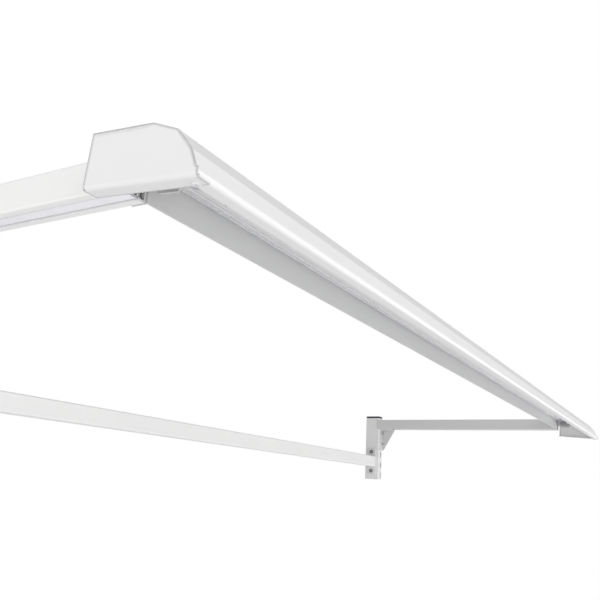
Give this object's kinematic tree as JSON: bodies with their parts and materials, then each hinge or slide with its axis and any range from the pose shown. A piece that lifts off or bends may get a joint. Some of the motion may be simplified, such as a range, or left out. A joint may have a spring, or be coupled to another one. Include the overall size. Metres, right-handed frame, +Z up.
{
  "type": "led work light",
  "caption": "Long tilting LED hood carried by cantilever arms from slotted posts and a crossbar that bolt to bench uprights.",
  "frame": {"origin": "centre of the rear fixing holes, on the rear plane of the posts, midway between them", "axes": "+X along the light to its far end, +Y to the rear, +Z up"},
  "size_m": [2.052, 0.7626, 0.218],
  "materials": {
    "grey_paint": "fine matt powder coat",
    "white_paint": "fine satin powder coat",
    "white_screws": "painted screw heads",
    "dark_plastic": "moulded matt",
    "white_plastic": "moulded satin",
    "opal_plastic": "opal, lightly frosted",
    "circuit_board": "white solder resist",
    "led_phosphor": "yellow phosphor",
    "driver_case": "moulded matt",
    "terminal_plastic": "moulded gloss",
    "lead_sheath": "smooth sheath",
    "gland_plastic": "moulded matt",
    "aluminium_profile": "natural satin",
    "dark_steel": "black zinc",
    "zinc_steel": "bright zinc"
  },
  "bodies": {
    "frame": {"crossbar": "grey_paint", "front_beam": "grey_paint", "post_near": "grey_paint", "post_far": "grey_paint", "post_cap_near": "dark_plastic", "post_cap_far": "dark_plastic", "arm_near": "grey_paint", "arm_far": "grey_paint", "arm_end_plate_near": "grey_paint", "arm_end_plate_far": "grey_paint", "gusset_near": "grey_paint", "gusset_far": "grey_paint", "crossbar_plate_near": "grey_paint", "crossbar_plate_far": "grey_paint", "tilt_bracket_near": "zinc_steel", "tilt_bracket_far": "zinc_steel", "arm_cover_near": "white_plastic", "arm_cover_far": "white_plastic", "pivot_stud_near": "dark_steel", "pivot_stud_far": "dark_steel", "pivot_washers": "dark_steel", "pivot_nuts": "dark_steel", "tilt_lock_knobs": "dark_steel", "crossbar_screws": "zinc_steel", "crossbar_rivet_nuts": "zinc_steel", "rear_rivet_nuts": "zinc_steel", "post_slot_screws": "zinc_steel", "post_slot_nuts": "zinc_steel", "rail_screws": "zinc_steel", "rail_nuts": "zinc_steel", "bracket_screws": "zinc_steel", "beam_screws": "zinc_steel", "beam_nuts": "zinc_steel", "cable_gland": "gland_plastic", "cable_gland_nut": "gland_plastic", "arm_lead": "lead_sheath"},
    "hood": {"hood_roof": "white_paint", "hood_shoulder": "white_paint", "hood_front": "white_paint", "end_cap_near": "white_paint", "end_cap_far": "white_paint", "hood_hanger_near": "white_paint", "hood_hanger_far": "white_paint", "diffuser_end_near": "white_plastic", "diffuser_end_far": "white_plastic", "rear_trim_strip": "aluminium_profile", "led_carrier": "aluminium_profile", "led_boards": "circuit_board", "led_chips": "led_phosphor", "diffuser": "opal_plastic", "led_driver": "driver_case", "driver_screws": "zinc_steel", "terminal_block": "terminal_plastic", "hood_lead": "lead_sheath", "hanger_screws": "white_screws", "carrier_screws": "white_screws", "end_cap_screws": "white_screws", "hood_corner_screws": "white_screws"}
  },
  "joints": [
    {"name": "hood_tilt", "type": "hinge", "parent": "frame", "child": "hood", "pos_m": [0, -0.6835, 0.13], "axis": [1, 0, 0], "range_deg": [-4.3, 25.7]}
  ]
}
